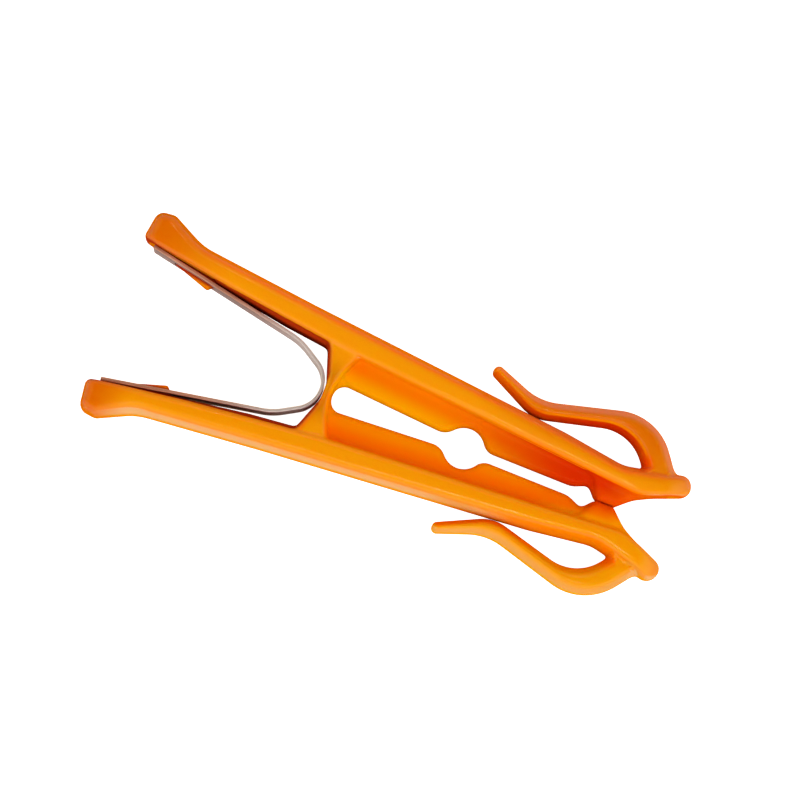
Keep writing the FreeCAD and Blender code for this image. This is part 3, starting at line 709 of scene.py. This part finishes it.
def brushed_steel():
    """Rolled spring steel with fine lines along it, with a painted bright reflection at the bow and
    painted shade and orange reflection along its legs.
    """
    steel, dull_steel = (0.92, 0.84, 0.8, 1), (0.74, 0.63, 0.58, 1)
    leg_shade_steel, dull_leg_shade = (0.8, 0.4, 0.26, 1), (0.55, 0.22, 0.13, 1)
    leg_face_shade = (0.3, 0.15, 0.11, 1)
    material, tree, shader = new_material("brushed_steel")
    grain = wire(tree, "ShaderNodeGroup", node_tree=surface_grain)
    grain.inputs["Stretch"].default_value = (40, 40, 1)
    grain.inputs["Size"].default_value = 0.12 * MM
    grain.inputs["Contrast"].default_value = 1.6
    height = grain.outputs["Height"]
    bump = wire(
        tree, "ShaderNodeBump", {"Height": height, "Strength": 0.4, "Distance": 0.01 * MM}
    ).outputs["Normal"]
    place = wire(tree, "ShaderNodeTexCoord").outputs["Object"]
    along = wire(tree, "ShaderNodeSeparateXYZ", {0: place}).outputs["X"]
    # Painted reflection: bright at the bow; painted shade and orange reflection along the legs, darkest
    # on their broad faces.
    to_leg = ramp(tree, along, hinge_centre.x - 4 * MM, hinge_centre.x - 18 * MM)
    bright = blended_colour(tree, to_leg, steel, leg_shade_steel)
    dull = blended_colour(tree, to_leg, dull_steel, dull_leg_shade)
    colour = blended_colour(tree, height, dull, bright)
    normal = wire(tree, "ShaderNodeNewGeometry").outputs["True Normal"]
    upright = wire(tree, "ShaderNodeSeparateXYZ", {0: normal}).outputs["Z"]
    face = ramp(tree, maths(tree, "ABSOLUTE", upright), 0.7, 0.3)
    colour = blended_colour(tree, maths(tree, "MULTIPLY", face, to_leg), colour, leg_face_shade)
    tree.links.new(colour, shader.inputs["Base Color"])
    tree.links.new(maths(tree, "MULTIPLY_ADD", height, 0.16, 0.3), shader.inputs["Roughness"])
    tree.links.new(bump, shader.inputs["Normal"])
    shader.inputs["Metallic"].default_value = 0.6
    return material


def strip_tree():
    """A tree that sweeps a round-edged strip along a bent path and blanks two windows in it."""
    tree = bpy.data.node_groups.new("bent_strip", "GeometryNodeTree")
    tree.interface.new_socket("Geometry", in_out="OUTPUT", socket_type="NodeSocketGeometry")
    for size, kind in (
        ("Path", "Object"),
        ("Centre", "Vector"),
        ("Width", "Float"),
        ("Thickness", "Float"),
        ("Edge Round", "Float"),
        ("Step", "Float"),
        ("Window Middle", "Float"),
        ("Window Length", "Float"),
        ("Window Width", "Float"),
        ("Window Round", "Float"),
        ("Window Reach", "Float"),
        ("Material", "Material"),
    ):
        tree.interface.new_socket(size, in_out="INPUT", socket_type=f"NodeSocket{kind}")
    given = wire(tree, "NodeGroupInput").outputs

    def swept(path, width, height, radius, arc_steps):
        """A round-cornered bar along a path."""
        frame_curve = wire(
            tree, "GeometryNodeCurvePrimitiveQuadrilateral", {"Width": width, "Height": height}
        ).outputs[0]
        inputs = {"Curve": frame_curve, "Count": arc_steps, "Radius": radius}
        profile = wire(tree, "GeometryNodeFilletCurve", inputs, mode="POLY").outputs[0]
        inputs = {"Curve": path, "Profile Curve": profile, "Fill Caps": True}
        return wire(tree, "GeometryNodeCurveToMesh", inputs).outputs[0]

    path = wire(
        tree,
        "GeometryNodeResampleCurve",
        {"Curve": rounded_curve(tree, given["Path"]), "Length": given["Step"]},
        mode="LENGTH",
    ).outputs[0]
    upright = wire(tree, "GeometryNodeSetCurveNormal", {"Curve": path}, mode="Z_UP").outputs[0]
    bar = swept(upright, given["Thickness"], given["Width"], given["Edge Round"], 3)
    start = wire(
        tree,
        "ShaderNodeCombineXYZ",
        {0: given["Window Middle"], 1: maths(tree, "MULTIPLY", given["Window Reach"], -1.0)},
    ).outputs[0]
    end = wire(
        tree, "ShaderNodeCombineXYZ", {0: given["Window Middle"], 1: given["Window Reach"]}
    ).outputs[0]
    through = wire(tree, "GeometryNodeCurvePrimitiveLine", {"Start": start, "End": end}).outputs[0]
    level = wire(tree, "GeometryNodeSetCurveNormal", {"Curve": through}, mode="Z_UP").outputs[0]
    cutter = swept(level, given["Window Length"], given["Window Width"], given["Window Round"], 6)
    cut = wire(
        tree, "GeometryNodeMeshBoolean", {"Mesh 1": bar, "Mesh 2": cutter}, solver="EXACT"
    ).outputs[0]
    moved = wire(
        tree, "GeometryNodeTransform", {"Geometry": cut, "Translation": given["Centre"]}
    ).outputs[0]
    real = wire(tree, "GeometryNodeRealizeInstances", {"Geometry": moved}).outputs[0]
    inputs = {"Geometry": real, "Material": given["Material"]}
    wire(tree, "NodeGroupOutput", {0: wire(tree, "GeometryNodeSetMaterial", inputs).outputs[0]})
    return tree


STRIP_HALF = [(-0.95, 2.3, 3.9), (-6.05, 5.35, 9.0), (-29.8, 9.89, 0.0)]
strip_path = [(x, -y, r) for x, y, r in reversed(STRIP_HALF)] + STRIP_HALF
path_helper = outline("strip_path", strip_path, closed=False)
strip = grown(
    "strip_spring",
    strip_tree(),
    {
        "Path": path_helper,
        "Centre": hinge_centre,
        "Width": 6.5 * MM,
        "Thickness": 0.5 * MM,
        "Edge Round": 0.14 * MM,
        "Step": 0.3 * MM,
        "Window Middle": -23.25 * MM,
        "Window Length": 6.4 * MM,
        "Window Width": 3.3 * MM,
        "Window Round": 0.5 * MM,
        "Window Reach": 16.0 * MM,
        "Material": brushed_steel(),
    },
)
bpy.data.curves.remove(path_helper.data)
strip.data.shade_smooth()
strip.data.set_sharp_from_angle(angle=math.radians(35))
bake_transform(strip)
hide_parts("leaf_spring")


# Studio. The clamp lies on its side on white paper, in a white room with a broad soft box
# overhead and two small ones. The camera looks down at it from a little below its lower arm.

FLOOR_SIZE = 3.0
floor_mesh = bpy.data.meshes.new("white_floor")
half = FLOOR_SIZE / 2
floor_corners = [(-half, -half, 0), (half, -half, 0), (half, half, 0), (-half, half, 0)]
floor_mesh.from_pydata(floor_corners, [], [(0, 1, 2, 3)])
floor = bpy.data.objects.new("white_floor", floor_mesh)
bpy.context.scene.collection.objects.link(floor)
floor_material, floor_tree, floor_shader = new_material("white_paper")
floor_shader.inputs["Base Color"].default_value = (0.8, 0.8, 0.8, 1)
floor_shader.inputs["Roughness"].default_value = 0.9
floor_shader.inputs["Emission Color"].default_value = (1, 1, 1, 1)
seen = wire(floor_tree, "ShaderNodeLightPath").outputs["Is Camera Ray"]
floor_tree.links.new(seen, floor_shader.inputs["Emission Strength"])
floor_mesh.materials.append(floor_material)

world = bpy.data.worlds.new("white_room")
bpy.context.scene.world = world
world.use_nodes = True
room = world.node_tree
room.nodes["Background"].inputs["Color"].default_value = (1, 1, 1, 1)
BRIGHT_SIDE = Vector((0.45, -0.89, 0))
heading = wire(room, "ShaderNodeTexCoord").outputs["Object"]
height = wire(room, "ShaderNodeSeparateXYZ", {0: heading}).outputs["Z"]
towards_light = wire(
    room, "ShaderNodeVectorMath", {0: heading, 1: BRIGHT_SIDE}, operation="DOT_PRODUCT"
).outputs["Value"]
side_light = ramp(room, towards_light, -0.6, 0.6)
walls = ramp(room, height, 0.8, 0.62)
strength = maths(room, "MULTIPLY_ADD", walls, ramp(room, side_light, 0.0, 1.0, 0.85, 1.3), 0.01)
tone = blended_colour(room, side_light, (1.0, 0.76, 0.46, 1), (1.0, 1.0, 1.0, 1))
straight = wire(room, "ShaderNodeLightPath").outputs["Is Camera Ray"]
strength = maths(room, "MAXIMUM", strength, straight)
tone = blended_colour(room, straight, tone, (1.0, 1.0, 1.0, 1))
room.links.new(strength, room.nodes["Background"].inputs["Strength"])
room.links.new(tone, room.nodes["Background"].inputs["Color"])

VIEW_TILT = math.radians(4.7)
VIEW_ROLL = math.radians(21.81)
FRAME_WIDTH = 111.4 * MM
FRAME_MIDDLE = Vector((9.754, 3.0, 0)) * MM
LENS, SENSOR = 200, 36
tilt_sin, tilt_cos = math.sin(VIEW_TILT), math.cos(VIEW_TILT)
roll_sin, roll_cos = math.sin(VIEW_ROLL), math.cos(VIEW_ROLL)
to_right = Vector((roll_cos, roll_sin * tilt_cos, roll_sin * tilt_sin))
to_top = Vector((-roll_sin, roll_cos * tilt_cos, roll_cos * tilt_sin))
to_viewer = Vector((0, -tilt_sin, tilt_cos))
middle = hinge_centre + FRAME_MIDDLE
lens = bpy.data.cameras.new("camera")
lens.lens, lens.sensor_width = LENS, SENSOR
camera = bpy.data.objects.new("camera", lens)
turned = Matrix((to_right, to_top, to_viewer)).transposed().to_4x4()
camera.matrix_world = Matrix.Translation(middle + to_viewer * FRAME_WIDTH * LENS / SENSOR) @ turned
bpy.context.scene.collection.objects.link(camera)
bpy.context.scene.camera = camera
bpy.context.scene.view_settings.view_transform = "Standard"


LAMP_DISTANCE = 0.7


def soft_box(name, towards, size, power, mirrored):
    """A square lamp on the side that towards points to, seen in the gloss only if mirrored."""
    lamp = bpy.data.lights.new(name, "AREA")
    lamp.shape, lamp.size, lamp.energy = "SQUARE", size, power
    made = bpy.data.objects.new(name, lamp)
    towards = Vector(towards).normalized()
    place = Matrix.Translation(middle + towards * LAMP_DISTANCE)
    made.matrix_world = place @ towards.to_track_quat("Z", "Y").to_matrix().to_4x4()
    made.visible_glossy = mirrored
    bpy.context.scene.collection.objects.link(made)


soft_box("overhead_box", (0.1, -0.15, 1), 0.5, 2.42, False)
soft_box("main_box", (0.1, -0.38, 1), 0.04, 0.27, True)
soft_box("fill_box", (-0.1, 0.55, 1), 0.05, 0.12, True)
